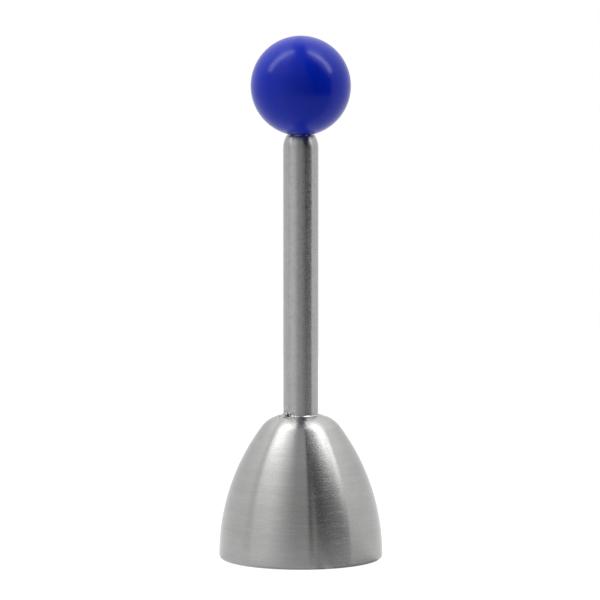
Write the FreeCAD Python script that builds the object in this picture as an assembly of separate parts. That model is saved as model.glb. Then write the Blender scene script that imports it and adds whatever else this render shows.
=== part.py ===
import FreeCAD, Part
import os
from math import asin, cos, pi, radians, sin, sqrt, tan

# Egg topper with a spring plunger. The bell stands on the egg, the ball is pulled up against the
# spring and let go, and the weight on the rod strikes the anvil in the bell's crown.
# Millimetres, +Z up. The origin is the centre of the plane that the bell's rim stands on.

# --- Bell: a spun steel cup. An upright flank arc turns over a shoulder arc into a crown that rises
# gently to the flat seat of the tube. ---
BELL_RADIUS = 20.5        # outside, at its widest just above the rim
BELL_HEIGHT = 36.2        # from the foot of the rim to the tube's seat
FLANK_ARC = 54.0          # radius of the long flank
SHOULDER_ARC = 7.0        # radius that turns the flank into the crown
CROWN_SLOPE = radians(19) # fall of the crown round the seat
BELL_WALL = 1.2
RIM_ROUND = 1.0           # rounding of the rim's outer edge
RIM_WALL = 1.6            # coined wall at the mouth, which strikes the shell
MOUTH_DEPTH = 3.0         # height of the straight mouth
MOUTH_RUNOUT = 0.8        # height over which the mouth opens into the flank
MOUTH_CHAMFER = 0.15

# --- Barrel: a steel tube that stands on the crown, its top end rolled inwards ---
TUBE_RADIUS = 4.4
TUBE_WALL = 0.7
TUBE_LENGTH = 70.3
SWAGE_LENGTH = 3.25       # the part of the tube that is rolled in
SWAGE_ARC = 6.1           # outer radius of the roll
WELD_LEG = 0.5            # full round bead in the corner at the foot

# --- Anvil plug: riveted through the crown, its boss locates the tube ---
SPIGOT_RADIUS = 2.5
RIVET_HEAD_RADIUS = 4.0
RIVET_HEAD_HEIGHT = 1.6
ANVIL_LENGTH = 4.2

# --- Guide bush and spring washers ---
BUSH_LENGTH = 6.8
BUSH_RECESS = 0.4         # from the tube's top down to the bush
WASHER_THICKNESS = 0.6

# --- Plunger: pull rod, striker weight and cross pin ---
ROD_RADIUS = 2.0
STRIKER_LENGTH = 21.8
STRIKER_FLOOR = 3.0       # solid steel under the rod's socket
PIN_RADIUS = 0.75
PIN_HEIGHT = 7.0          # above the striking face
PIN_INSET = 0.3           # how far the pin's ends lie inside the weight

# --- Return spring: round wire, one closed turn at each end ---
WIRE_RADIUS = 0.325
ACTIVE_TURNS = 11
CLOSED_TURNS = 1          # at each end
BLEND_TURNS = 0.125       # each side of a change of pitch
WIRE_SIDES = 6            # flats that stand for the wire's round section

# --- Ball knob and the brass insert that is moulded into it ---
BALL_RADIUS = 12.5
BALL_FLAT_RADIUS = 3.5    # flat face round the rod
INSERT_RADIUS = 3.9
INSERT_LENGTH = 11.0
COLLAR_RADIUS = 3.0
COLLAR_LENGTH = 1.5
GROOVE_DEPTH = 0.7        # the groove that the plastic grips
GROOVE_START = 5.0        # above the ball's flat
GROOVE_LENGTH = 1.6
ROD_ENGAGEMENT = 9.0      # how far the rod screws in
THREAD_RELIEF = 0.6       # room past the rod's end

# --- Clearances, all on the radius except the last ---
SEAT_GAP = 0.02           # pieces that are pressed, pinned, moulded or welded together
ROD_PLAY = 0.05           # rod in its bush
WASHER_PLAY = 0.2         # washers in the tube and round the rod
STRIKER_PLAY = 0.2        # weight in the tube
STRIKE_GAP = 0.3          # ball above the tube while the weight rests on the anvil

EDGE_BREAK = 0.3          # chamfer on machined edges

# --- Sizes that follow ---
CROWN_UNDERSIDE = BELL_HEIGHT - BELL_WALL
CROWN_SEAT = TUBE_RADIUS + SEAT_GAP + WELD_LEG
MOUTH_RADIUS = BELL_RADIUS - RIM_WALL
TUBE_BORE = TUBE_RADIUS - TUBE_WALL
TUBE_TOP = BELL_HEIGHT + TUBE_LENGTH
SWAGE_START = TUBE_TOP - SWAGE_LENGTH
ANVIL_TOP = BELL_HEIGHT + ANVIL_LENGTH
STRIKER_TOP = ANVIL_TOP + STRIKER_LENGTH
STRIKER_RADIUS = TUBE_BORE - STRIKER_PLAY
PIN_CENTRE = ANVIL_TOP + PIN_HEIGHT
BUSH_TOP = TUBE_TOP - BUSH_RECESS
BUSH_BOTTOM = BUSH_TOP - BUSH_LENGTH
SPRING_TOP = BUSH_BOTTOM - WASHER_THICKNESS
SPRING_BOTTOM = STRIKER_TOP + WASHER_THICKNESS
SPRING_RADIUS = (ROD_RADIUS + TUBE_BORE) / 2
BALL_FLAT = TUBE_TOP + STRIKE_GAP
BALL_CENTRE = BALL_FLAT + sqrt(BALL_RADIUS**2 - BALL_FLAT_RADIUS**2)
ROD_BOTTOM = ANVIL_TOP + STRIKER_FLOOR
ROD_TOP = BALL_FLAT + ROD_ENGAGEMENT

ORIGIN = FreeCAD.Vector(0, 0, 0)
AXIS = FreeCAD.Vector(0, 0, 1)


def point(r, z):
    """A point of a half section: its distance from the axis and its height."""
    return FreeCAD.Vector(r, 0, z)


def on_circle(centre, radius, angle):
    """The point of a circle in the half section, its angle taken up from the outward radius."""
    return centre + radius * point(cos(angle), sin(angle))


def arc(centre, radius, start, end):
    """An arc of the half section between two angles."""
    middle = (start + end) / 2
    return Part.Arc(*(on_circle(centre, radius, a) for a in (start, middle, end)))


def turned(*outline):
    """The solid that a closed half section sweeps round the axis. The outline holds points and
    arcs in order, and straight lines join them."""
    edges = []
    last = None
    first = None
    for item in outline:
        is_point = isinstance(item, FreeCAD.Vector)
        start = item if is_point else item.StartPoint
        if last is not None and not last.isEqual(start, 1e-7):
            edges.append(Part.LineSegment(last, start).toShape())
        if not is_point:
            edges.append(item.toShape())
        first = first or start
        last = item if is_point else item.EndPoint
    edges.append(Part.LineSegment(last, first).toShape())
    return Part.Face(Part.Wire(edges)).revolve(ORIGIN, AXIS, 360)


def ring(inner, outer, bottom, top):
    """A flat ring with square edges."""
    return turned(point(inner, bottom), point(outer, bottom), point(outer, top), point(inner, top))


def cross_cylinder(radius, reach):
    """A cylinder across the axis at the height of the cross pin, as far as it reaches each way."""
    start = FreeCAD.Vector(-reach, 0, PIN_CENTRE)
    return Part.makeCylinder(radius, 2 * reach, start, FreeCAD.Vector(1, 0, 0))


def pin_drilled(body):
    """A turned body with the hole for the cross pin drilled right through."""
    return body.cut(cross_cylinder(PIN_RADIUS + SEAT_GAP, 2 * STRIKER_RADIUS))


def bell_cup():
    flank_centre = point(BELL_RADIUS - FLANK_ARC, RIM_ROUND)
    seat = point(CROWN_SEAT, BELL_HEIGHT)
    outward = on_circle(ORIGIN, 1, pi / 2 - CROWN_SLOPE)
    crown_distance = (seat - flank_centre).dot(outward)
    blend = asin((crown_distance - SHOULDER_ARC) / (FLANK_ARC - SHOULDER_ARC)) - CROWN_SLOPE
    shoulder_centre = on_circle(flank_centre, FLANK_ARC - SHOULDER_ARC, blend)
    shoulder_end = pi / 2 - CROWN_SLOPE
    hole = SPIGOT_RADIUS + SEAT_GAP
    inner_flank = FLANK_ARC - BELL_WALL
    inner_shoulder = SHOULDER_ARC - BELL_WALL
    runout = asin((MOUTH_DEPTH + MOUTH_RUNOUT - RIM_ROUND) / inner_flank)
    return turned(
        arc(point(BELL_RADIUS - RIM_ROUND, RIM_ROUND), RIM_ROUND, -pi / 2, 0),
        arc(flank_centre, FLANK_ARC, 0, blend),
        arc(shoulder_centre, SHOULDER_ARC, blend, shoulder_end),
        seat,
        point(hole, BELL_HEIGHT),
        point(hole, CROWN_UNDERSIDE),
        point(CROWN_SEAT - BELL_WALL * tan(CROWN_SLOPE / 2), CROWN_UNDERSIDE),
        arc(shoulder_centre, inner_shoulder, shoulder_end, blend),
        arc(flank_centre, inner_flank, blend, runout),
        point(MOUTH_RADIUS, MOUTH_DEPTH),
        point(MOUTH_RADIUS, MOUTH_CHAMFER),
        point(MOUTH_RADIUS + MOUTH_CHAMFER, 0),
    )


def swage_arc(depth, top):
    """The rolled-in end of the tube, at a depth below its outer surface, up to a height."""
    radius = SWAGE_ARC - depth
    centre = point(TUBE_RADIUS - SWAGE_ARC, SWAGE_START)
    return arc(centre, radius, 0, asin((top - SWAGE_START) / radius))


def barrel_tube():
    inside = swage_arc(TUBE_WALL, TUBE_TOP)
    inside.reverse()
    return turned(
        point(TUBE_BORE, BELL_HEIGHT),
        point(TUBE_RADIUS, BELL_HEIGHT),
        swage_arc(0, TUBE_TOP),
        inside,
    )


def foot_weld_bead():
    root = point(TUBE_RADIUS + SEAT_GAP, BELL_HEIGHT)
    return turned(root, arc(root, WELD_LEG, 0, pi / 2))


def anvil_plug():
    dome = (RIVET_HEAD_RADIUS**2 + RIVET_HEAD_HEIGHT**2) / (2 * RIVET_HEAD_HEIGHT)
    dome_centre = point(0, CROWN_UNDERSIDE - RIVET_HEAD_HEIGHT + dome)
    boss = TUBE_BORE - SEAT_GAP
    return turned(
        arc(dome_centre, dome, -pi / 2, asin(RIVET_HEAD_RADIUS / dome) - pi / 2),
        point(SPIGOT_RADIUS, CROWN_UNDERSIDE),
        point(SPIGOT_RADIUS, BELL_HEIGHT),
        point(boss, BELL_HEIGHT),
        point(boss, ANVIL_TOP - EDGE_BREAK),
        point(boss - EDGE_BREAK, ANVIL_TOP),
        point(0, ANVIL_TOP),
    )


def guide_bush():
    hole = ROD_RADIUS + ROD_PLAY
    return turned(
        point(hole, BUSH_BOTTOM),
        point(TUBE_BORE - SEAT_GAP, BUSH_BOTTOM),
        swage_arc(TUBE_WALL + SEAT_GAP, BUSH_TOP),
        point(hole + EDGE_BREAK, BUSH_TOP),
        point(hole, BUSH_TOP - EDGE_BREAK),
    )


def spring_washer(bottom):
    return ring(ROD_RADIUS + WASHER_PLAY, TUBE_BORE - WASHER_PLAY, bottom, bottom + WASHER_THICKNESS)


def upper_spring_washer():
    return spring_washer(SPRING_TOP)


def lower_spring_washer():
    return spring_washer(STRIKER_TOP)


def on_coil(turns, height):
    """A point of the coil's cylinder, unrolled: how far round it is and how high."""
    return FreeCAD.Base.Vector2d(2 * pi * turns, height)


def pitch_blend(before, bend, after):
    """A short smooth bend of the unrolled centre line, from one pitch to the next."""
    share_before = BLEND_TURNS * 2 * pi / (bend - before).x
    share_after = BLEND_TURNS * 2 * pi / (after - bend).x
    curve = Part.Geom2d.BezierCurve2d()
    curve.setPoles([bend + (before - bend) * share_before, bend, bend + (after - bend) * share_after])
    return curve


def spring_centre_line():
    """Centre line of the wire on the coil's cylinder: a closed turn, the working turns and a
    closed turn, with a short blend of pitch between them."""
    bottom = SPRING_BOTTOM + WIRE_RADIUS
    top = SPRING_TOP - WIRE_RADIUS
    turns = ACTIVE_TURNS + 2 * CLOSED_TURNS
    closed_rise = 2 * WIRE_RADIUS * CLOSED_TURNS
    start = on_coil(0, bottom)
    lower_bend = on_coil(CLOSED_TURNS, bottom + closed_rise)
    upper_bend = on_coil(turns - CLOSED_TURNS, top - closed_rise)
    end = on_coil(turns, top)
    lower = pitch_blend(start, lower_bend, upper_bend)
    upper = pitch_blend(lower_bend, upper_bend, end)
    line = Part.Geom2d.Line2dSegment
    curves = (
        line(start, lower.StartPoint),
        lower,
        line(lower.EndPoint, upper.StartPoint),
        upper,
        line(upper.EndPoint, end),
    )
    cylinder = Part.Cylinder()
    cylinder.Radius = SPRING_RADIUS
    return Part.Wire([curve.toShape(cylinder) for curve in curves])


def return_spring():
    """The wire swept along its centre line. Its section is a polygon of the round wire's area,
    with flats above and below so that the closed turns lie on each other."""
    corner = WIRE_RADIUS * sqrt(2 * pi / (WIRE_SIDES * sin(2 * pi / WIRE_SIDES)))
    centre = point(SPRING_RADIUS, SPRING_BOTTOM + WIRE_RADIUS)
    steps = range(WIRE_SIDES + 1)
    section = Part.makePolygon([on_circle(centre, corner, 2 * pi * i / WIRE_SIDES) for i in steps])
    sweep = Part.BRepOffsetAPI.MakePipeShell(spring_centre_line())
    sweep.setBiNormalMode(AXIS)
    sweep.add(section)
    sweep.build()
    sweep.makeSolid()
    return sweep.shape()


def striker_weight():
    socket = ROD_RADIUS + SEAT_GAP
    return pin_drilled(turned(
        point(0, ANVIL_TOP),
        point(STRIKER_RADIUS - EDGE_BREAK, ANVIL_TOP),
        point(STRIKER_RADIUS, ANVIL_TOP + EDGE_BREAK),
        point(STRIKER_RADIUS, STRIKER_TOP - EDGE_BREAK),
        point(STRIKER_RADIUS - EDGE_BREAK, STRIKER_TOP),
        point(socket, STRIKER_TOP),
        point(socket, ROD_BOTTOM),
        point(0, ROD_BOTTOM),
    ))


def plunger_rod():
    return pin_drilled(turned(
        point(0, ROD_BOTTOM),
        point(ROD_RADIUS - EDGE_BREAK, ROD_BOTTOM),
        point(ROD_RADIUS, ROD_BOTTOM + EDGE_BREAK),
        point(ROD_RADIUS, ROD_TOP - EDGE_BREAK),
        point(ROD_RADIUS - EDGE_BREAK, ROD_TOP),
        point(0, ROD_TOP),
    ))


def striker_cross_pin():
    return cross_cylinder(PIN_RADIUS, STRIKER_RADIUS - PIN_INSET)


def insert_outline(gap):
    """Outside of the brass insert, from its collar up to its closed end, grown by a gap."""
    groove = INSERT_RADIUS - GROOVE_DEPTH + gap
    body = INSERT_RADIUS + gap
    collar = COLLAR_RADIUS + gap
    shoulder = BALL_FLAT + COLLAR_LENGTH - gap
    groove_bottom = BALL_FLAT + GROOVE_START + gap
    groove_top = BALL_FLAT + GROOVE_START + GROOVE_LENGTH - gap
    closed_end = BALL_FLAT + INSERT_LENGTH + gap
    return [
        point(collar, BALL_FLAT),
        point(collar, shoulder),
        point(body, shoulder),
        point(body, groove_bottom),
        point(groove, groove_bottom),
        point(groove, groove_top),
        point(body, groove_top),
        point(body, closed_end),
        point(0, closed_end),
    ]


def knob_insert():
    bore = ROD_RADIUS + SEAT_GAP
    bore_end = ROD_TOP + THREAD_RELIEF
    return turned(
        *insert_outline(0),
        point(0, bore_end),
        point(bore, bore_end),
        point(bore, BALL_FLAT),
    )


def ball_knob():
    centre = point(0, BALL_CENTRE)
    cavity = insert_outline(SEAT_GAP)
    cavity.reverse()
    return turned(
        arc(centre, BALL_RADIUS, asin(BALL_FLAT_RADIUS / BALL_RADIUS) - pi / 2, pi / 2),
        *cavity,
    )


PIECES = (
    bell_cup,
    barrel_tube,
    foot_weld_bead,
    anvil_plug,
    guide_bush,
    upper_spring_washer,
    return_spring,
    lower_spring_washer,
    plunger_rod,
    striker_weight,
    striker_cross_pin,
    knob_insert,
    ball_knob,
)

os.makedirs("parts", exist_ok=True)
for piece in PIECES:
    piece().exportStep(f"parts/{piece.__name__}.step")
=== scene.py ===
import bpy
from math import asin, copysign, cos, hypot, pi, radians, sin, tan
from mathutils import Matrix, Vector


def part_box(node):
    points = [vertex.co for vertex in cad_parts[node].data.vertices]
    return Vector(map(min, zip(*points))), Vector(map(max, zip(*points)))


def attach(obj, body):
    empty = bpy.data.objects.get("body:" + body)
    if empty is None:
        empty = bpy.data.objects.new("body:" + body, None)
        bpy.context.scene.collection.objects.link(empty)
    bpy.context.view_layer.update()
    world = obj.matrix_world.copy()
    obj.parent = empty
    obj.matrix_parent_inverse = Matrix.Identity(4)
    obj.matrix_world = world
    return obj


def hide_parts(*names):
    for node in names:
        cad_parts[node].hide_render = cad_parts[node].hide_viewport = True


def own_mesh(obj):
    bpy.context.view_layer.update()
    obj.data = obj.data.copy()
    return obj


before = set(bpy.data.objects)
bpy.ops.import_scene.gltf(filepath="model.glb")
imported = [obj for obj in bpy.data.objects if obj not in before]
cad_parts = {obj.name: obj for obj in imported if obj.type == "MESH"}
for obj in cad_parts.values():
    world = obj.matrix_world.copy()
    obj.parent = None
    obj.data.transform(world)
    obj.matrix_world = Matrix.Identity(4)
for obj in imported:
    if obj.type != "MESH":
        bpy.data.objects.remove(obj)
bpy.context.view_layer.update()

# Egg topper: a brushed steel bell with a steel barrel welded on its crown, and a blue ball on the
# plunger rod that slides in it. Metres, +Z up, the origin in the plane of the bell's rim, the camera
# on the -Y side.

MM = 0.001
ORIGIN = Vector((0, 0, 0))
UP = Vector((0, 0, 1))
MERGE_DISTANCE = 0.0005 * MM
SEAT_GAP = 0.02 * MM
EDGE_BREAK = 0.3 * MM


def bottom_of(node):
    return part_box(node)[0].z


def top_of(node):
    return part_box(node)[1].z


def radius_of(node):
    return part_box(node)[1].x


# --- Bell ---
BELL_RADIUS = radius_of("bell_cup")
BELL_HEIGHT = top_of("bell_cup")
FLANK_ARC = 54.0 * MM
SHOULDER_ARC = 7.0 * MM
CROWN_SLOPE = radians(19)
BELL_WALL = 1.2 * MM
RIM_ROUND = 1.0 * MM
RIM_WALL = 1.6 * MM
MOUTH_DEPTH = 3.0 * MM
MOUTH_RUNOUT = 0.8 * MM
MOUTH_CHAMFER = 0.15 * MM
SPIGOT_RADIUS = 2.5 * MM

# --- Barrel tube ---
TUBE_RADIUS = radius_of("barrel_tube")
TUBE_TOP = top_of("barrel_tube")
TUBE_WALL = 0.7 * MM
TUBE_BORE = TUBE_RADIUS - TUBE_WALL
SWAGE_LENGTH = 3.25 * MM
SWAGE_ARC = 6.1 * MM
SWAGE_START = TUBE_TOP - SWAGE_LENGTH
LIP_ROUND = 0.06 * MM

# --- Weld at the tube's foot. Turns are degrees round the axis from where the torch stopped. ---
CROWN_SEAT = radius_of("foot_weld_bead")
BEAD_REACH = 1.05 * MM
BEAD_RISE = 0.22 * MM
BEAD_LEG = 0.17 * MM
EDGE_ROUND = 0.11 * MM
TORCH_STOP = radians(-47)
LUMP_SIZE = 0.8 * MM
LUMP_HEIGHT = 0.06 * MM
SWELL_REACH = 0.9 * MM
SWELL_TURNS_AND_PUSHES = ((-30, 0.22 * MM), (-8, -0.10 * MM), (6, 0.20 * MM), (20, 0.12 * MM))
DROP_TURNS_REACHES_AND_RADII = (
    (-4, 0.7 * MM, 0.16 * MM), (9, 1.2 * MM, 0.11 * MM), (19, 0.55 * MM, 0.13 * MM))
DROP_FLATTENING = 0.7

# --- Pieces inside the barrel ---
RIVET_HEAD_RADIUS = radius_of("anvil_plug")
RIVET_HEAD_HEIGHT = 1.6 * MM
RIVET_HEAD_ROUND = 0.2 * MM
ROD_RADIUS = radius_of("plunger_rod")
ROD_PLAY = 0.05 * MM
WASHER_PLAY = 0.2 * MM
WASHER_ROUND = 0.1 * MM
STRIKER_RADIUS = radius_of("striker_weight")
PIN_CENTRE = (bottom_of("striker_cross_pin") + top_of("striker_cross_pin")) / 2
PIN_RADIUS = (top_of("striker_cross_pin") - bottom_of("striker_cross_pin")) / 2
PIN_REACH = radius_of("striker_cross_pin")
PIN_ROUND = 0.15 * MM
WIRE_RADIUS = 0.325 * MM
SPRING_TOP = top_of("return_spring")
SPRING_BOTTOM = bottom_of("return_spring")
SPRING_RADIUS = (ROD_RADIUS + TUBE_BORE) / 2
ACTIVE_TURNS = 11
CLOSED_TURNS = 1

# --- Ball and its insert ---
BALL_RADIUS = radius_of("ball_knob")
BALL_CENTRE = top_of("ball_knob") - BALL_RADIUS
BALL_FLAT = bottom_of("ball_knob")
BALL_FLAT_RADIUS = 3.5 * MM
BALL_FLAT_ROUND = 0.08 * MM
INSERT_RADIUS = radius_of("knob_insert")
COLLAR_RADIUS = 3.0 * MM
COLLAR_LENGTH = 1.5 * MM
GROOVE_DEPTH = 0.7 * MM
GROOVE_START = 5.0 * MM
GROOVE_LENGTH = 1.6 * MM
THREAD_RELIEF = 0.6 * MM

# --- How finely the pieces are spun round the axis ---
SPIN_STEPS = 96
BELL_STEPS = 192
WELD_STEPS = 240
BALL_STEPS = 160
PIN_STEPS = 48
COIL_STEPS = 36
WIRE_STEPS = 14


# ------------------------------------------------------------------------------------------------
# Drawing half sections and spinning them into pieces
# ------------------------------------------------------------------------------------------------

def at(r, z):
    """A point of a half section: its distance from the axis and its height."""
    return Vector((r, 0, z))


def on_circle(centre, radius, angle):
    return centre + radius * at(cos(angle), sin(angle))


def round_the_axis(point, angle):
    """A point of the half section that faces the camera, turned round the axis to the right."""
    return Vector((point.x * sin(angle), -point.x * cos(angle), point.z))


def begin(name, pen):
    """A new piece that is a single point so far, the first of its half section."""
    bpy.context.tool_settings.mesh_select_mode = (True, False, False)
    bpy.ops.object.select_all(action="DESELECT")
    bpy.ops.mesh.primitive_plane_add(size=MM, location=ORIGIN)
    piece = bpy.context.object
    piece.name = piece.data.name = name
    bpy.ops.object.mode_set(mode="EDIT")
    bpy.ops.mesh.merge(type="CENTER")
    bpy.ops.transform.translate(value=pen)
    return pen


def line(pen, *ends):
    """Draws straight lines from the pen through the points that follow."""
    for end in ends:
        bpy.ops.mesh.extrude_vertices_move(TRANSFORM_OT_translate={"value": end - pen})
        pen = end
    return pen


def arc(pen, centre, angle, steps):
    """Draws an arc from the pen round a centre. A positive angle turns from outwards to upwards."""
    turn_axis = (0, copysign(1, angle), 0)
    bpy.ops.mesh.spin(steps=steps, angle=abs(angle), center=centre, axis=turn_axis)
    return centre + Matrix.Rotation(-angle, 3, "Y") @ (pen - centre)


def revolve(steps=SPIN_STEPS):
    """Spins the drawn half section round the axis and closes the piece."""
    bpy.ops.mesh.select_all(action="SELECT")
    bpy.ops.mesh.spin(steps=steps, angle=2 * pi, center=ORIGIN, axis=UP)
    bpy.ops.mesh.select_all(action="SELECT")
    bpy.ops.mesh.remove_doubles(threshold=MERGE_DISTANCE)
    bpy.ops.mesh.normals_make_consistent(inside=False)
    bpy.ops.object.mode_set(mode="OBJECT")
    return bpy.context.object


def round_off(piece, width, *corners):
    """Rounds the edges that lie round the axis at the given corners of the half section."""
    mesh = piece.data
    bpy.context.tool_settings.mesh_select_mode = (False, True, False)
    bpy.ops.object.mode_set(mode="EDIT")
    bpy.ops.mesh.select_all(action="DESELECT")
    bpy.ops.object.mode_set(mode="OBJECT")
    for edge in mesh.edges:
        ends = [mesh.vertices[i].co for i in edge.vertices]
        places = [at(hypot(end.x, end.y), end.z) for end in ends]
        edge.select = any(
            all((place - corner).length < MERGE_DISTANCE for place in places) for corner in corners)
    bpy.ops.object.mode_set(mode="EDIT")
    bpy.ops.mesh.bevel(offset=width, segments=4, affect="EDGES")
    bpy.ops.object.mode_set(mode="OBJECT")


def select_only(piece):
    bpy.ops.object.select_all(action="DESELECT")
    piece.select_set(True)
    bpy.context.view_layer.objects.active = piece


def fix_in_place():
    """Puts the place, turn and size of the selected piece into its mesh."""
    bpy.ops.object.transform_apply(location=True, rotation=True, scale=True)


def drill_for_pin(piece):
    """Drills the hole for the cross pin right through."""
    bpy.ops.object.select_all(action="DESELECT")
    bpy.ops.mesh.primitive_cylinder_add(
        vertices=PIN_STEPS, radius=PIN_RADIUS + SEAT_GAP, depth=4 * STRIKER_RADIUS,
        location=(0, 0, PIN_CENTRE), rotation=(0, pi / 2, 0))
    bit = bpy.context.object
    bpy.context.view_layer.objects.active = piece
    hole = piece.modifiers.new("pin_hole", "BOOLEAN")
    hole.operation = "DIFFERENCE"
    hole.object = bit
    bpy.ops.object.modifier_apply(modifier=hole.name)
    bpy.data.objects.remove(bit)
    return piece


def finish(piece, body, material, node, crease=30):
    """Shades a piece, gives it its material, body and slot, and hides the node it stands for."""
    select_only(piece)
    bpy.ops.object.shade_smooth_by_angle(angle=radians(crease))
    piece.data.materials.clear()
    piece.data.materials.append(material)
    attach(piece, body)
    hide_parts(node)
    return piece


# ------------------------------------------------------------------------------------------------
# Shader nodes
# ------------------------------------------------------------------------------------------------

def plug(tree, socket, value):
    """Links a socket to another node's output, or sets it to a value."""
    if isinstance(value, bpy.types.NodeSocket):
        tree.links.new(value, socket)
    else:
        socket.default_value = value


def add(tree, kind, sockets=None, **settings):
    """A node with its settings, and its sockets set to values or linked to other nodes' outputs."""
    node = tree.nodes.new(kind)
    for name, value in settings.items():
        setattr(node, name, value)
    for name, value in (sockets or {}).items():
        plug(tree, node.inputs[name], value)
    return node


def maths(tree, operation, *values, clamp=False):
    sockets = dict(enumerate(values))
    return add(tree, "ShaderNodeMath", sockets, operation=operation, use_clamp=clamp).outputs[0]


def times(tree, product, *factors):
    for factor in factors:
        product = maths(tree, "MULTIPLY", product, factor)
    return product


def remap(tree, value, low, high, to_low=0.0, to_high=1.0, smooth=True):
    """A value taken from one range to another, and kept inside it."""
    sockets = {"Value": value, "From Min": low, "From Max": high, "To Min": to_low, "To Max": to_high}
    kind = "SMOOTHSTEP" if smooth else "LINEAR"
    return add(tree, "ShaderNodeMapRange", sockets, interpolation_type=kind).outputs["Result"]


def spread(tree, share, low, high):
    """A share of nought to one, spread evenly from one value to another."""
    return remap(tree, share, 0.0, 1.0, low, high, smooth=False)


def between(tree, share, low, high):
    """The value that lies a share of the way from one value to another, which may be outputs."""
    difference = maths(tree, "SUBTRACT", high, low)
    return maths(tree, "MULTIPLY_ADD", share, difference, low)


def parts_of(tree, vector):
    return add(tree, "ShaderNodeSeparateXYZ", {"Vector": vector}).outputs


def length_of(tree, x, y):
    flat = add(tree, "ShaderNodeCombineXYZ", {"X": x, "Y": y}).outputs[0]
    return add(tree, "ShaderNodeVectorMath", {0: flat}, operation="LENGTH").outputs["Value"]


def noise(tree, vector, scale, detail=2.0, roughness=0.5, distortion=0.0):
    sockets = {
        "Vector": vector,
        "Scale": scale,
        "Detail": detail,
        "Roughness": roughness,
        "Distortion": distortion,
    }
    return add(tree, "ShaderNodeTexNoise", sockets).outputs["Fac"]


def blend_colour(tree, mask, first, second, kind="MIX"):
    node = add(tree, "ShaderNodeMix", data_type="RGBA", blend_type=kind, clamp_factor=True)
    for name, value in (("Factor_Float", mask), ("A_Color", first), ("B_Color", second)):
        plug(tree, next(s for s in node.inputs if s.identifier == name), value)
    return next(s for s in node.outputs if s.identifier == "Result_Color")


def shade_colour(tree, colour, tone):
    """A colour made lighter or darker by a tone, where 1 leaves it as it is."""
    grey_tone = add(tree, "ShaderNodeCombineXYZ", {"X": tone, "Y": tone, "Z": tone}).outputs[0]
    return blend_colour(tree, 1.0, colour, grey_tone, kind="MULTIPLY")


def grey(value):
    return (value, value, value, 1.0)


def new_group(name, inputs, outputs, output_type="NodeSocketFloat"):
    """A shader node group that takes a place and named values, and puts out what is named."""
    group = bpy.data.node_groups.new(name, "ShaderNodeTree")
    group.interface.new_socket("Vector", in_out="INPUT", socket_type="NodeSocketVector")
    for label, default in inputs.items():
        socket = group.interface.new_socket(label, in_out="INPUT", socket_type="NodeSocketFloat")
        socket.default_value = default
    for label in outputs:
        group.interface.new_socket(label, in_out="OUTPUT", socket_type=output_type)
    return group, add(group, "NodeGroupInput").outputs, add(group, "NodeGroupOutput").inputs


def use_group(tree, group, **sockets):
    node = add(tree, "ShaderNodeGroup", node_tree=group)
    for name, value in sockets.items():
        plug(tree, node.inputs[name.title()], value)
    return node.outputs


def ring_place_group():
    """Unrolls a turned surface: the vector runs slowly round the axis and evenly along the outline,
    so that a fine noise on it becomes lines round the axis. A lean tilts the lines."""
    group, source, sink = new_group(
        "ring_place", {"Stretch": 30.0, "Lean": 0.0}, ["Vector"], "NodeSocketVector")
    place = parts_of(group, source["Vector"])
    along = maths(group, "SUBTRACT", place["Z"], length_of(group, place["X"], place["Y"]))
    sideways = maths(group, "ADD", place["X"], place["Y"])
    lines = add(group, "ShaderNodeCombineXYZ", {
        "X": maths(group, "DIVIDE", place["X"], source["Stretch"]),
        "Y": maths(group, "DIVIDE", place["Y"], source["Stretch"]),
        "Z": maths(group, "MULTIPLY_ADD", sideways, source["Lean"], along),
    }).outputs[0]
    plug(group, sink["Vector"], lines)
    return group


def grain_group():
    """Fine lines on a stretched place: hairlines, and a slow change from band to band."""
    group, source, sink = new_group("metal_grain", {"Fineness": 5000.0}, ["Lines", "Bands"])
    place = source["Vector"]
    fineness = source["Fineness"]
    hair = noise(group, place, fineness, detail=3.0, roughness=0.65)
    broad = noise(group, place, maths(group, "MULTIPLY", fineness, 0.3))
    bands = noise(group, place, maths(group, "MULTIPLY", fineness, 0.05), detail=3.0)
    lines = between(group, 0.4, hair, broad)
    plug(group, sink["Lines"], remap(group, lines, 0.3, 0.7, smooth=False))
    plug(group, sink["Bands"], remap(group, bands, 0.3, 0.7, smooth=False))
    return group


def scratch_group():
    """Single scratches on a stretched place, sparse, that fade in and out. Where a material draws them
    lighter, that lightness is a painted glint.
    """
    group, source, sink = new_group("scratches", {"Fineness": 3500.0}, ["Scratch"])
    line_noise = noise(group, source["Vector"], source["Fineness"], detail=1.0)
    plug(group, sink["Scratch"], remap(group, line_noise, 0.58, 0.70))
    return group


def handling_group():
    """Marks of handling: soft smudges, and sparse specks."""
    group, source, sink = new_group("handling_marks", {"Size": 120.0}, ["Smudge", "Speck"])
    place = source["Vector"]
    smudge = noise(group, place, source["Size"], detail=4.0, roughness=0.55, distortion=0.6)
    speck = noise(group, place, maths(group, "MULTIPLY", source["Size"], 30.0))
    plug(group, sink["Smudge"], remap(group, smudge, 0.4, 0.68))
    plug(group, sink["Speck"], remap(group, speck, 0.66, 0.74))
    return group


def fade_out(tree, distance, near, far, level=1.0):
    """A level that fades to nought between two distances in millimetres."""
    return remap(tree, distance, near * MM, far * MM, level, 0.0)


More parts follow.
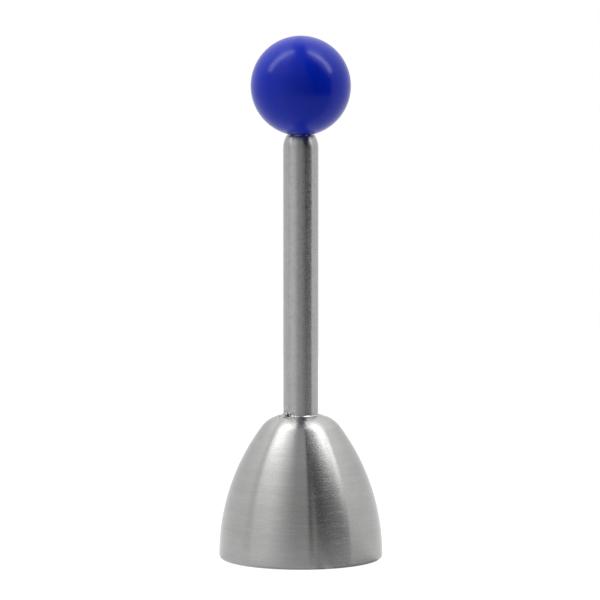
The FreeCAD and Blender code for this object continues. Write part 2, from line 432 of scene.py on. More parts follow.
def weld_heat_group():
    """What the torch left round the tube's foot: scorch, strongest where it stopped, burnt grains
    round the stop, and a wider patch where the weld itself cooled dull. Light and shade are painted
    there
    too: a dark spot as the painted shade of a pit that the mesh doesn't have, and bright grains as
    painted glints."""
    group, source, sink = new_group("weld_heat", {}, ["Scorch", "Grains_And_Pit_Shade", "Painted_Glints", "Dull"])
    place = source["Vector"]
    parts = parts_of(group, place)
    across = maths(group, "SUBTRACT", length_of(group, parts["X"], parts["Y"]), TUBE_RADIUS)
    from_foot = length_of(group, across, maths(group, "SUBTRACT", parts["Z"], BELL_HEIGHT))
    stop = round_the_axis(at(TUBE_RADIUS, BELL_HEIGHT), TORCH_STOP)
    from_stop = add(
        group, "ShaderNodeVectorMath", {0: place, 1: stop}, operation="DISTANCE").outputs["Value"]
    ragged = maths(group, "MULTIPLY", noise(group, place, 1400.0, detail=4.0), 2.0 * MM)
    ragged_from_foot = maths(group, "ADD", from_foot, ragged)
    ragged_from_stop = maths(group, "ADD", from_stop, ragged)
    ring = fade_out(group, ragged_from_foot, 0.9, 1.5, 0.12)
    stain = fade_out(group, ragged_from_stop, 1.0, 2.6, 0.9)
    grains = noise(group, place, 2600.0)
    near = fade_out(group, from_stop, 0.8, 3.6)
    burnt_grains = maths(group, "MULTIPLY", remap(group, grains, 0.57, 0.66), near)
    # painted glints: grains of lighter colour near the stop, where spatter would catch the light
    painted_glint_grains = maths(group, "MULTIPLY", remap(group, grains, 0.43, 0.36), near)
    # painted shade: a near-black spot where a pit would be; the mesh has no hollow there
    pit_shade = fade_out(group, from_stop, 0.42, 0.58)
    plug(group, sink["Scorch"], maths(group, "MAXIMUM", ring, stain))
    plug(group, sink["Grains_And_Pit_Shade"], maths(group, "MAXIMUM", burnt_grains, pit_shade))
    plug(group, sink["Painted_Glints"], painted_glint_grains)
    plug(group, sink["Dull"], fade_out(group, ragged_from_stop, 2.4, 5.0))
    return group


RING_PLACE = ring_place_group()
METAL_GRAIN = grain_group()
SCRATCHES = scratch_group()
HANDLING = handling_group()
WELD_HEAT = weld_heat_group()


# ------------------------------------------------------------------------------------------------
# Materials
# ------------------------------------------------------------------------------------------------

BELL_STEEL = (0.405, 0.404, 0.401, 1)
BELL_STEEL_SMUDGED = (0.390, 0.389, 0.385, 1)
TUBE_STEEL = (0.402, 0.402, 0.402, 1)
TUBE_STEEL_SMUDGED = (0.385, 0.385, 0.383, 1)
WELD_METAL = (0.46, 0.455, 0.445, 1)
WELD_METAL_SMUDGED = (0.36, 0.355, 0.345, 1)
WELD_METAL_DULL = (0.24, 0.237, 0.23, 1)
SCORCH_COLOUR = (0.085, 0.08, 0.075, 1)
# Near black, for the burnt grains and for the painted shade of the weld's pit
BURNT_GRAIN_AND_PIT_SHADE_COLOUR = (0.015, 0.015, 0.015, 1)
# Light colour for the painted glints round the weld's stop
PAINTED_GLINT_COLOUR = (0.85, 0.85, 0.84, 1)
LATHE_STEEL = (0.46, 0.455, 0.45, 1)
LATHE_STEEL_SMUDGED = (0.40, 0.395, 0.385, 1)
WIRE_STEEL = (0.30, 0.295, 0.285, 1)
WIRE_STEEL_OILY = (0.20, 0.195, 0.185, 1)
CLEAN_BRASS = (0.62, 0.43, 0.17, 1)
DULL_BRASS = (0.45, 0.29, 0.11, 1)
BALL_BLUE = (0.0006, 0.012, 0.33, 1)
BALL_BLUE_SMUDGED = (0.0012, 0.015, 0.35, 1)
BALL_GLOSS_TINT = (0.85, 0.90, 1.0, 1)


def new_material(name):
    """A material with its Principled shader, and the object's own coordinates."""
    material = bpy.data.materials.new(name)
    material.use_nodes = True
    tree = material.node_tree
    tree.nodes.clear()
    shader = add(tree, "ShaderNodeBsdfPrincipled")
    surface = add(tree, "ShaderNodeOutputMaterial", {"Surface": shader.outputs["BSDF"]})
    surface.is_active_output = True
    place = add(tree, "ShaderNodeTexCoord").outputs["Object"]
    return material, tree, shader, place


def set_sockets(tree, shader, sockets):
    for name, value in sockets.items():
        plug(tree, shader.inputs[name], value)


def raise_surface(tree, shader, height, depth, strength=1.0):
    bump = add(tree, "ShaderNodeBump", {"Height": height, "Distance": depth, "Strength": strength})
    plug(tree, shader.inputs["Normal"], bump.outputs["Normal"])


def stretch_reflections(tree, shader, amount):
    """Blurs reflections along the outline and keeps them sharp round the axis."""
    tangent = add(tree, "ShaderNodeTangent", direction_type="RADIAL", axis="Z")
    set_sockets(tree, shader, {
        "Tangent": tangent.outputs["Tangent"],
        "Anisotropic": amount,
        "Anisotropic Rotation": 0.25,
    })


def with_weld_marks(tree, heat, scorch, colour):
    """The colour of a steel with the weld's scorch and burnt grains laid over it, and painted light
    there: painted glints, and the painted shade of a pit.
    """
    colour = blend_colour(tree, scorch, colour, SCORCH_COLOUR)
    colour = blend_colour(tree, heat["Painted_Glints"], colour, PAINTED_GLINT_COLOUR)
    return blend_colour(tree, heat["Grains_And_Pit_Shade"], colour, BURNT_GRAIN_AND_PIT_SHADE_COLOUR)


def brushed_bell_steel():
    """Stainless steel, spun and brushed round the axis, with a few coarser scratches across."""
    material, tree, shader, place = new_material("brushed_bell_steel")
    rings = use_group(tree, RING_PLACE, vector=place, stretch=30.0, lean=0.0)["Vector"]
    leaning = use_group(tree, RING_PLACE, vector=place, stretch=14.0, lean=0.05)["Vector"]
    crossing = use_group(tree, RING_PLACE, vector=place, stretch=11.0, lean=-0.07)["Vector"]
    grain = use_group(tree, METAL_GRAIN, vector=rings, fineness=4000.0)
    scratch = maths(
        tree, "MAXIMUM",
        use_group(tree, SCRATCHES, vector=leaning, fineness=3600.0)["Scratch"],
        use_group(tree, SCRATCHES, vector=crossing, fineness=2900.0)["Scratch"])
    marks = use_group(tree, HANDLING, vector=place, size=90.0)
    heat = use_group(tree, WELD_HEAT, vector=place)
    # Tone: grain and bands of the brushing, and the scratches drawn up to 5% lighter, a painted glint
    # on top of their real roughness and bump.
    tone = times(
        tree,
        spread(tree, grain["Lines"], 0.94, 1.05),
        remap(tree, grain["Bands"], 0.0, 1.0, 0.97, 1.03),
        spread(tree, scratch, 1.0, 1.05))
    steel = blend_colour(tree, marks["Smudge"], BELL_STEEL, BELL_STEEL_SMUDGED)
    rough = spread(tree, grain["Lines"], 0.225, 0.245)
    rough = maths(tree, "MULTIPLY_ADD", scratch, 0.04, rough)
    rough = maths(tree, "MULTIPLY_ADD", marks["Smudge"], 0.02, rough)
    set_sockets(tree, shader, {
        "Base Color": with_weld_marks(tree, heat, heat["Scorch"], shade_colour(tree, steel, tone)),
        "Metallic": 1.0,
        "Roughness": rough,
    })
    stretch_reflections(tree, shader, 1.0)
    texture = maths(tree, "ADD", grain["Lines"], scratch)
    raise_surface(tree, shader, texture, depth=0.003 * MM, strength=0.12)
    return material


def satin_tube_steel():
    """Drawn steel tube, rubbed lengthwise to a satin finish."""
    material, tree, shader, place = new_material("satin_tube_steel")
    along = add(tree, "ShaderNodeMapping", {"Vector": place, "Scale": (1, 1, 0.04)}).outputs[0]
    grain = use_group(tree, METAL_GRAIN, vector=along, fineness=3600.0)
    marks = use_group(tree, HANDLING, vector=place, size=150.0)
    mottle = noise(tree, place, 900.0, detail=3.0, roughness=0.6)
    pores = noise(tree, place, 3200.0, detail=1.0)
    heat = use_group(tree, WELD_HEAT, vector=place)
    tone = times(
        tree,
        spread(tree, grain["Lines"], 0.94, 1.05),
        remap(tree, mottle, 0.3, 0.7, 0.95, 1.04),
        remap(tree, pores, 0.35, 0.65, 0.975, 1.025),
        remap(tree, marks["Speck"], 0.0, 1.0, 1.0, 0.88))
    steel = blend_colour(tree, marks["Smudge"], TUBE_STEEL, TUBE_STEEL_SMUDGED)
    rough = remap(tree, mottle, 0.3, 0.7, 0.27, 0.31)
    rough = maths(tree, "ADD", rough, remap(tree, pores, 0.40, 0.65, -0.02, 0.045))
    rough = maths(tree, "MULTIPLY_ADD", marks["Smudge"], 0.02, rough)
    set_sockets(tree, shader, {
        "Base Color": with_weld_marks(tree, heat, heat["Scorch"], shade_colour(tree, steel, tone)),
        "Metallic": 1.0,
        "Roughness": rough,
    })
    stretch_reflections(tree, shader, 0.75)
    texture = maths(tree, "ADD", grain["Lines"], maths(tree, "ADD", mottle, pores))
    raise_surface(tree, shader, texture, depth=0.005 * MM, strength=0.7)
    return material


def weld_steel():
    """Weld metal as it cooled: bright where it ran, dark with scale where the torch stopped."""
    material, tree, shader, place = new_material("weld_steel")
    marks = use_group(tree, HANDLING, vector=place, size=700.0)
    heat = use_group(tree, WELD_HEAT, vector=place)
    metal = blend_colour(tree, marks["Smudge"], WELD_METAL, WELD_METAL_SMUDGED)
    metal = blend_colour(tree, heat["Dull"], metal, WELD_METAL_DULL)
    burnt = remap(tree, heat["Scorch"], 0.2, 0.9)
    rough = remap(tree, marks["Smudge"], 0.0, 1.0, 0.14, 0.24)
    set_sockets(tree, shader, {
        "Base Color": with_weld_marks(tree, heat, burnt, metal),
        "Metallic": 1.0,
        "Roughness": maths(tree, "MULTIPLY_ADD", heat["Dull"], 0.25, rough),
    })
    raise_surface(tree, shader, marks["Smudge"], depth=0.02 * MM, strength=0.6)
    return material


def turned_steel():
    """Machined steel with the fine rings that the lathe leaves."""
    material, tree, shader, place = new_material("turned_steel")
    rings = use_group(tree, RING_PLACE, vector=place, stretch=60.0, lean=0.0)["Vector"]
    grain = use_group(tree, METAL_GRAIN, vector=rings, fineness=6000.0)
    marks = use_group(tree, HANDLING, vector=place, size=200.0)
    steel = blend_colour(tree, marks["Smudge"], LATHE_STEEL, LATHE_STEEL_SMUDGED)
    set_sockets(tree, shader, {
        "Base Color": shade_colour(tree, steel, spread(tree, grain["Lines"], 1.03, 0.92)),
        "Metallic": 1.0,
        "Roughness": spread(tree, grain["Lines"], 0.2, 0.3),
    })
    stretch_reflections(tree, shader, 0.6)
    raise_surface(tree, shader, grain["Lines"], depth=0.004 * MM, strength=0.5)
    return material


def spring_wire():
    """Hard drawn spring wire under a thin film of oil."""
    material, tree, shader, place = new_material("spring_wire")
    marks = use_group(tree, HANDLING, vector=place, size=400.0)
    set_sockets(tree, shader, {
        "Base Color": blend_colour(tree, marks["Smudge"], WIRE_STEEL, WIRE_STEEL_OILY),
        "Metallic": 1.0,
        "Roughness": remap(tree, marks["Smudge"], 0.0, 1.0, 0.25, 0.38),
    })
    return material


def turned_brass():
    """Brass off the lathe, dulled a little by handling."""
    material, tree, shader, place = new_material("turned_brass")
    rings = use_group(tree, RING_PLACE, vector=place, stretch=60.0, lean=0.0)["Vector"]
    grain = use_group(tree, METAL_GRAIN, vector=rings, fineness=5000.0)
    marks = use_group(tree, HANDLING, vector=place, size=250.0)
    set_sockets(tree, shader, {
        "Base Color": blend_colour(tree, marks["Smudge"], CLEAN_BRASS, DULL_BRASS),
        "Metallic": 1.0,
        "Roughness": spread(tree, grain["Lines"], 0.22, 0.34),
    })
    raise_surface(tree, shader, grain["Lines"], depth=0.004 * MM, strength=0.5)
    return material


def blue_plastic():
    """Moulded plastic, coloured through, with a soft satin skin."""
    material, tree, shader, place = new_material("blue_plastic")
    marks = use_group(tree, HANDLING, vector=place, size=60.0)
    set_sockets(tree, shader, {
        "Base Color": blend_colour(tree, marks["Smudge"], BALL_BLUE, BALL_BLUE_SMUDGED),
        "Roughness": remap(tree, marks["Smudge"], 0.0, 1.0, 0.20, 0.23),
        "IOR": 1.30,
        "Specular Tint": BALL_GLOSS_TINT,
    })
    raise_surface(tree, shader, noise(tree, place, 1600.0), depth=0.004 * MM, strength=0.25)
    return material


# ------------------------------------------------------------------------------------------------
# Pieces
# ------------------------------------------------------------------------------------------------

def bell_cup():
    """The spun bell: an upright flank, a shoulder, a crown that rises to the tube's seat, and a
    thicker mouth."""
    flank_centre = at(BELL_RADIUS - FLANK_ARC, RIM_ROUND)
    seat = at(CROWN_SEAT, BELL_HEIGHT)
    outward = on_circle(ORIGIN, 1, pi / 2 - CROWN_SLOPE)
    crown_distance = (seat - flank_centre).dot(outward)
    blend = asin((crown_distance - SHOULDER_ARC) / (FLANK_ARC - SHOULDER_ARC)) - CROWN_SLOPE
    shoulder_centre = on_circle(flank_centre, FLANK_ARC - SHOULDER_ARC, blend)
    shoulder_turn = pi / 2 - CROWN_SLOPE - blend
    hole = SPIGOT_RADIUS + SEAT_GAP
    underside = BELL_HEIGHT - BELL_WALL
    inner_crown = on_circle(shoulder_centre, SHOULDER_ARC - BELL_WALL, pi / 2 - CROWN_SLOPE)
    runout = asin((MOUTH_DEPTH + MOUTH_RUNOUT - RIM_ROUND) / (FLANK_ARC - BELL_WALL))
    mouth = BELL_RADIUS - RIM_WALL
    foot = at(BELL_RADIUS - RIM_ROUND, 0)
    pen = begin("bell_cup_brushed", foot)
    pen = arc(pen, at(BELL_RADIUS - RIM_ROUND, RIM_ROUND), pi / 2, steps=10)
    pen = arc(pen, flank_centre, blend, steps=40)
    pen = arc(pen, shoulder_centre, shoulder_turn, steps=18)
    pen = line(
        pen, seat, at(hole, BELL_HEIGHT), at(hole, underside),
        at(CROWN_SEAT - BELL_WALL * tan(CROWN_SLOPE / 2), underside), inner_crown)
    pen = arc(pen, shoulder_centre, -shoulder_turn, steps=14)
    pen = arc(pen, flank_centre, runout - blend, steps=28)
    line(
        pen, at(mouth, MOUTH_DEPTH), at(mouth, MOUTH_CHAMFER), at(mouth + MOUTH_CHAMFER, 0), foot)
    return revolve(BELL_STEPS)


def barrel_tube():
    """The tube, its top end rolled inwards to a rounded lip that holds the bush."""
    roll_centre = at(TUBE_RADIUS - SWAGE_ARC, SWAGE_START)
    inner_arc = SWAGE_ARC - TUBE_WALL
    outer_turn = asin(SWAGE_LENGTH / SWAGE_ARC)
    inner_turn = asin(SWAGE_LENGTH / inner_arc)
    foot = at(TUBE_BORE, BELL_HEIGHT)
    pen = begin("barrel_tube_satin", foot)
    pen = line(pen, at(TUBE_RADIUS, BELL_HEIGHT), at(TUBE_RADIUS, SWAGE_START))
    outer_lip = arc(pen, roll_centre, outer_turn, steps=12)
    inner_lip = line(outer_lip, on_circle(roll_centre, inner_arc, inner_turn))
    pen = arc(inner_lip, roll_centre, -inner_turn, steps=12)
    line(pen, foot)
    piece = revolve()
    round_off(piece, LIP_ROUND, outer_lip, inner_lip)
    return piece


def foot_weld():
    """The weld at the tube's foot: a low skirt of metal that runs out over the crown to a rounded
    edge, uneven as it was laid by hand, with a lump where the torch stopped and drops of spatter."""
    edge_foot = at(TUBE_RADIUS + BEAD_REACH, BELL_HEIGHT - BEAD_REACH * tan(CROWN_SLOPE))
    edge = edge_foot + at(0, EDGE_ROUND / 2)
    root = at(TUBE_RADIUS - TUBE_WALL / 2, BELL_HEIGHT)
    pen = begin("foot_weld_bead_ripple", root)
    pen = line(pen, edge_foot + at(-EDGE_ROUND, -EDGE_ROUND), edge + at(0, -EDGE_ROUND))
    pen = arc(pen, edge, pi, steps=10)
    line(
        pen, edge + at(-2 * EDGE_ROUND, 0.6 * EDGE_ROUND), at(TUBE_RADIUS + BEAD_LEG, BELL_HEIGHT),
        at(TUBE_RADIUS, BELL_HEIGHT + BEAD_RISE), root)
    piece = revolve(WELD_STEPS)
    ripple = bpy.data.textures.new("weld_ripple", "CLOUDS")
    ripple.noise_scale = LUMP_SIZE
    lumps = piece.modifiers.new("lumps", "DISPLACE")
    lumps.texture = ripple
    lumps.texture_coords = "LOCAL"
    lumps.strength = LUMP_HEIGHT
    bpy.ops.object.modifier_apply(modifier=lumps.name)
    bpy.ops.object.mode_set(mode="EDIT")
    for turn, push in SWELL_TURNS_AND_PUSHES:
        swell_bead(piece, edge, TORCH_STOP + radians(turn), push)
    bpy.ops.object.mode_set(mode="OBJECT")
    return with_spatter(piece)


def swell_bead(piece, edge, angle, push):
    """Pushes the weld up and outwards, or sinks it, round one place of its length."""
    lift = round_the_axis(at(0.5, 1), angle)
    top = round_the_axis(edge + at(-EDGE_ROUND, EDGE_ROUND), angle)
    bpy.ops.mesh.select_all(action="DESELECT")
    bpy.ops.object.mode_set(mode="OBJECT")
    nearest = min(piece.data.vertices, key=lambda vertex: (vertex.co - top).length)
    nearest.select = True
    bpy.ops.object.mode_set(mode="EDIT")
    bpy.ops.transform.translate(
        value=push * lift, use_proportional_edit=True,
        proportional_edit_falloff="SMOOTH", proportional_size=SWELL_REACH)


def with_spatter(bead):
    """Adds the drops of weld metal that landed on the crown beside the bead."""
    drops = []
    for turn, reach, radius in DROP_TURNS_REACHES_AND_RADII:
        spot = at(CROWN_SEAT + reach, BELL_HEIGHT - reach * tan(CROWN_SLOPE))
        bpy.ops.object.select_all(action="DESELECT")
        bpy.ops.mesh.primitive_ico_sphere_add(
            subdivisions=3, radius=radius, location=round_the_axis(spot, TORCH_STOP + radians(turn)))
        drop = bpy.context.object
        drop.scale.z = DROP_FLATTENING
        fix_in_place()
        drops.append(drop)
    for piece in (*drops, bead):
        piece.select_set(True)
    bpy.context.view_layer.objects.active = bead
    bpy.ops.object.join()
    return bead


def anvil_plug():
    """The plug in the crown: a domed rivet head inside the bell, and a boss inside the tube."""
    dome = (RIVET_HEAD_RADIUS**2 + RIVET_HEAD_HEIGHT**2) / (2 * RIVET_HEAD_HEIGHT)
    underside = BELL_HEIGHT - BELL_WALL
    head = at(0, underside - RIVET_HEAD_HEIGHT)
    boss = TUBE_BORE - SEAT_GAP
    anvil_top = top_of("anvil_plug")
    pen = begin("anvil_plug_turned", head)
    rim = arc(pen, head + at(0, dome), asin(RIVET_HEAD_RADIUS / dome), steps=16)
    line(
        rim, at(SPIGOT_RADIUS, underside), at(SPIGOT_RADIUS, BELL_HEIGHT), at(boss, BELL_HEIGHT),
        at(boss, anvil_top - EDGE_BREAK), at(boss - EDGE_BREAK, anvil_top), at(0, anvil_top))
    piece = revolve()
    round_off(piece, RIVET_HEAD_ROUND, rim)
    return piece


def guide_bush():
    """The bush that guides the rod, its top shaped by the rolled end of the tube."""
    bottom = bottom_of("guide_bush")
    top = top_of("guide_bush")
    hole = ROD_RADIUS + ROD_PLAY
    outside = TUBE_BORE - SEAT_GAP
    roll = SWAGE_ARC - TUBE_WALL - SEAT_GAP
    roll_centre = at(TUBE_RADIUS - SWAGE_ARC, SWAGE_START)
    foot = at(hole, bottom)
    pen = begin("guide_bush_turned", foot)
    pen = line(pen, at(outside, bottom), at(outside, SWAGE_START))
    pen = arc(pen, roll_centre, asin((top - SWAGE_START) / roll), steps=10)
    line(pen, at(hole + EDGE_BREAK, top), at(hole, top - EDGE_BREAK), foot)
    return revolve()


def spring_washers():
    """The two washers at the spring's ends, their edges tumbled round."""
    inner = ROD_RADIUS + WASHER_PLAY
    outer = radius_of("upper_spring_washer")
    bottom = bottom_of("upper_spring_washer")
    top = top_of("upper_spring_washer")
    corners = (at(inner, bottom), at(outer, bottom), at(outer, top), at(inner, top))
    pen = begin("upper_spring_washer_tumbled", corners[0])
    line(pen, *corners[1:], corners[0])
    upper = revolve()
    round_off(upper, WASHER_ROUND, *corners)
    lower = upper.copy()
    lower.data = upper.data.copy()
    lower.name = lower.data.name = "lower_spring_washer_tumbled"
    bpy.context.scene.collection.objects.link(lower)
    select_only(lower)
    lower.location.z = bottom_of("lower_spring_washer") - bottom
    fix_in_place()
    return upper, lower


def plunger_rod():
    """The ground rod, its lower end pinned into the weight and its upper end screwed into the
    ball's insert."""
    bottom = bottom_of("plunger_rod")
    top = top_of("plunger_rod")
    pen = begin("plunger_rod_ground", at(0, bottom))
    line(
        pen, at(ROD_RADIUS - EDGE_BREAK, bottom), at(ROD_RADIUS, bottom + EDGE_BREAK),
        at(ROD_RADIUS, top - EDGE_BREAK), at(ROD_RADIUS - EDGE_BREAK, top), at(0, top))
    return drill_for_pin(revolve())


def striker_weight():
    """The steel weight: chamfered ends, and the rod's socket from above."""
    bottom = bottom_of("striker_weight")
    top = top_of("striker_weight")
    socket = ROD_RADIUS + SEAT_GAP
    socket_end = bottom_of("plunger_rod")
    pen = begin("striker_weight_turned", at(0, bottom))
    line(
        pen, at(STRIKER_RADIUS - EDGE_BREAK, bottom), at(STRIKER_RADIUS, bottom + EDGE_BREAK),
        at(STRIKER_RADIUS, top - EDGE_BREAK), at(STRIKER_RADIUS - EDGE_BREAK, top),
        at(socket, top), at(socket, socket_end), at(0, socket_end))
    return drill_for_pin(revolve())


def striker_cross_pin():
    """The pin that holds the weight on the rod, turned upright and then laid across."""
    lower_corner = at(PIN_RADIUS, -PIN_REACH)
    upper_corner = at(PIN_RADIUS, PIN_REACH)
    pen = begin("striker_cross_pin_turned", at(0, -PIN_REACH))
    line(pen, lower_corner, upper_corner, at(0, PIN_REACH))
    piece = revolve(PIN_STEPS)
    round_off(piece, PIN_ROUND, lower_corner, upper_corner)
    piece.rotation_euler.y = pi / 2
    piece.location.z = PIN_CENTRE
    fix_in_place()
    return piece


def insert_outline(gap):
    """Outside of the brass insert, from its closed end down to its collar, grown by a gap."""
    groove = INSERT_RADIUS - GROOVE_DEPTH + gap
    body = INSERT_RADIUS + gap
    collar = COLLAR_RADIUS + gap
    shoulder = BALL_FLAT + COLLAR_LENGTH - gap
    groove_bottom = BALL_FLAT + GROOVE_START + gap
    groove_top = BALL_FLAT + GROOVE_START + GROOVE_LENGTH - gap
    closed_end = top_of("knob_insert") + gap
    return (
        at(0, closed_end),
        at(body, closed_end),
        at(body, groove_top),
        at(groove, groove_top),
        at(groove, groove_bottom),
        at(body, groove_bottom),
        at(body, shoulder),
        at(collar, shoulder),
        at(collar, BALL_FLAT),
    )


def knob_insert():
    """The brass insert: a collar, a groove that the plastic grips, and the hole for the rod."""
    bore = ROD_RADIUS + SEAT_GAP
    bore_end = top_of("plunger_rod") + THREAD_RELIEF
    start, *outline = insert_outline(0)
    pen = begin("knob_insert_turned", start)
    line(
        pen, *outline, at(bore + EDGE_BREAK, BALL_FLAT), at(bore, BALL_FLAT + EDGE_BREAK),
        at(bore, bore_end), at(0, bore_end))
    return revolve()


def ball_knob():
    """The ball, moulded round the insert, with a flat round the rod."""
    start, *cavity = insert_outline(SEAT_GAP)
    flat_edge = at(BALL_FLAT_RADIUS, BALL_FLAT)
    pen = begin("ball_knob_moulded", start)
    pen = line(pen, *cavity, flat_edge)
    arc(pen, at(0, BALL_CENTRE), pi - asin(BALL_FLAT_RADIUS / BALL_RADIUS), steps=88)
    piece = revolve(BALL_STEPS)
    round_off(piece, BALL_FLAT_ROUND, flat_edge)
    return piece


def wire_turns(bottom, pitch, turns):
    """Some turns of the spring wire, from the height of its centre upwards."""
    bpy.ops.object.select_all(action="DESELECT")
    bpy.ops.mesh.primitive_circle_add(
        vertices=WIRE_STEPS, radius=WIRE_RADIUS, location=(SPRING_RADIUS, 0, bottom),
        rotation=(pi / 2, 0, 0))
    fix_in_place()
    piece = bpy.context.object
    coil = piece.modifiers.new("coil", "SCREW")
    coil.angle = 2 * pi
    coil.screw_offset = pitch
    coil.iterations = turns
    coil.steps = coil.render_steps = COIL_STEPS
    bpy.ops.object.modifier_apply(modifier=coil.name)
    return piece


def return_spring():
    """Round wire in a closed turn, eleven working turns and a closed turn."""
    closed_pitch = 2 * WIRE_RADIUS
    low = SPRING_BOTTOM + WIRE_RADIUS
    high = SPRING_TOP - WIRE_RADIUS
    closed_rise = closed_pitch * CLOSED_TURNS
    working_pitch = (high - low - 2 * closed_rise) / ACTIVE_TURNS
    coils = (
        wire_turns(low, closed_pitch, CLOSED_TURNS),
        wire_turns(low + closed_rise, working_pitch, ACTIVE_TURNS),
        wire_turns(high - closed_rise, closed_pitch, CLOSED_TURNS),
    )
    for coil in coils:
        coil.select_set(True)
    bpy.ops.object.join()
    piece = bpy.context.object
    piece.name = piece.data.name = "return_spring_wire"
    bpy.ops.object.mode_set(mode="EDIT")
    bpy.ops.mesh.select_all(action="SELECT")
    bpy.ops.mesh.remove_doubles(threshold=MERGE_DISTANCE)
    bpy.ops.mesh.fill_holes(sides=0)
    bpy.ops.mesh.select_all(action="SELECT")
    bpy.ops.mesh.normals_make_consistent(inside=False)
    bpy.ops.object.mode_set(mode="OBJECT")
    return piece


# ------------------------------------------------------------------------------------------------
# Studio
# ------------------------------------------------------------------------------------------------

CAMERA_DISTANCE = 1.560
CAMERA_PITCH = radians(6.73)
CAMERA_AIM = Vector((-0.0002, 0, 0.0651))
CAMERA_LENS = 374.4
BALL_AIM = Vector((0, 0, BALL_CENTRE))

# --- The tent. All angles are in degrees, those round the object are negative to the left. ---
TENT_LEVELS = (0.90, 1.50)
TENT_HEIGHTS = (10, 50)
SEAM_SHARE = 0.84
SEAM_EDGES = (-47, -41, -39, -37)
GAP_LEVELS = (0.02, 0.05)
GAP_ANGLES = (14, 38)
STRIP_LEVEL = 0.34
STRIP_EDGES = (8.2, 9.2, 11, 12.4)
STRIP_LEAN = 2.2
STRIP_LEAN_HEIGHTS = (6, 17)
STRIP_FADE_HEIGHTS = (8, 24)
CLOTH_SHARE = 0.39
CLOTH_EDGE = (4.8, 6.8)
LEFT_OPENING = (-27, -2.5)
RIGHT_EDGE_ANGLES = (37.5, 8)
RIGHT_EDGE_HEIGHTS = (8, 50)
RIGHT_EDGE_SOFTNESS = 0.8
TOP_SHARE = 0.8
TOP_HEIGHTS = (47, 60)
ROOF_LEVEL = 0.95
ROOF_REACH = 29
ROOF_EDGES = (50, 60, 74, 84)

# --- The table ---
TABLE_RADIUS = 0.4
TABLE_PALE = 0.75
TABLE_SHADED = 0.25
TABLE_GLOW = 0.90
# Painted sheen: how strongly the table glows with the tent's walls, and its glow beside them
SHEEN_SHARE = 0.50
SHEEN_LEVEL = 0.24


def camera():
    data = bpy.data.cameras.new("camera")
    data.lens = CAMERA_LENS
    data.clip_start = 0.1
    data.clip_end = 20.0
    eye = bpy.data.objects.new("camera", data)
    back = Vector((0, -cos(CAMERA_PITCH), sin(CAMERA_PITCH)))
    eye.location = CAMERA_AIM + CAMERA_DISTANCE * back
    eye.rotation_euler = (pi / 2 - CAMERA_PITCH, 0, 0)
    bpy.context.scene.collection.objects.link(eye)
    bpy.context.scene.camera = eye


def over_angles(tree, angle, span, levels=(0.0, 1.0), smooth=True):
    """A value that goes from one level to another over a span of degrees."""
    return remap(tree, angle, radians(span[0]), radians(span[1]), *levels, smooth=smooth)


def angle_band(tree, angle, edges):
    """One inside a band of angles and nought outside, with both its edges soft."""
    rise = over_angles(tree, angle, edges[:2])
    fall = over_angles(tree, angle, edges[2:], (1.0, 0.0))
    return maths(tree, "MULTIPLY", rise, fall)


def tent_walls(tree, toward):
    """How bright the white tent is toward a direction, and how bright its walls are there. The walls
    have a dark gap where the camera stands, with a thin lit strip in it, a grey cloth to the left of
    it and a slanting right edge. The angles round and up are taken half way between the camera and
    what a surface mirrors, as a round part shows them."""
    ahead = maths(tree, "SUBTRACT", 1.0, toward["Y"])
    round_angle = maths(tree, "ARCTAN2", toward["X"], ahead)
    up_angle = maths(tree, "ARCTAN2", toward["Z"], length_of(tree, toward["X"], ahead))
    elevation = maths(tree, "ARCSINE", toward["Z"])
    seam = angle_band(tree, round_angle, SEAM_EDGES)
    tent = over_angles(tree, elevation, TENT_HEIGHTS, TENT_LEVELS)
    tent = maths(tree, "MULTIPLY", tent, spread(tree, seam, 1.0, SEAM_SHARE))

    lean = over_angles(tree, up_angle, STRIP_LEAN_HEIGHTS, (0.0, radians(STRIP_LEAN)))
    strip = angle_band(tree, maths(tree, "ADD", round_angle, lean), STRIP_EDGES)
    strip = maths(tree, "MULTIPLY", strip, over_angles(tree, up_angle, STRIP_FADE_HEIGHTS, (1.0, 0.0)))
    gap = over_angles(tree, round_angle, GAP_ANGLES, GAP_LEVELS)
    gap = maths(tree, "MULTIPLY_ADD", strip, STRIP_LEVEL, gap)

    cloth = over_angles(tree, round_angle, CLOTH_EDGE, (1.0, 0.0))
    open_left = over_angles(tree, round_angle, LEFT_OPENING, (1.0, 0.0))
    bare_tent = maths(tree, "MULTIPLY", tent, 1 - CLOTH_SHARE)
    left = between(tree, cloth, gap, maths(tree, "MULTIPLY", tent, CLOTH_SHARE))
    left = maths(tree, "MULTIPLY_ADD", open_left, bare_tent, left)

    edge_angles = [radians(angle) for angle in RIGHT_EDGE_ANGLES]
    edge = over_angles(tree, up_angle, RIGHT_EDGE_HEIGHTS, edge_angles, smooth=False)
    past_edge = maths(tree, "SUBTRACT", round_angle, edge)
    open_right = over_angles(tree, past_edge, (-RIGHT_EDGE_SOFTNESS, RIGHT_EDGE_SOFTNESS))
    open_top = over_angles(tree, up_angle, TOP_HEIGHTS, (0.0, TOP_SHARE))
    opening = maths(tree, "MULTIPLY", maths(tree, "MAXIMUM", open_right, open_top), tent)
    return tent, maths(tree, "MAXIMUM", left, opening)


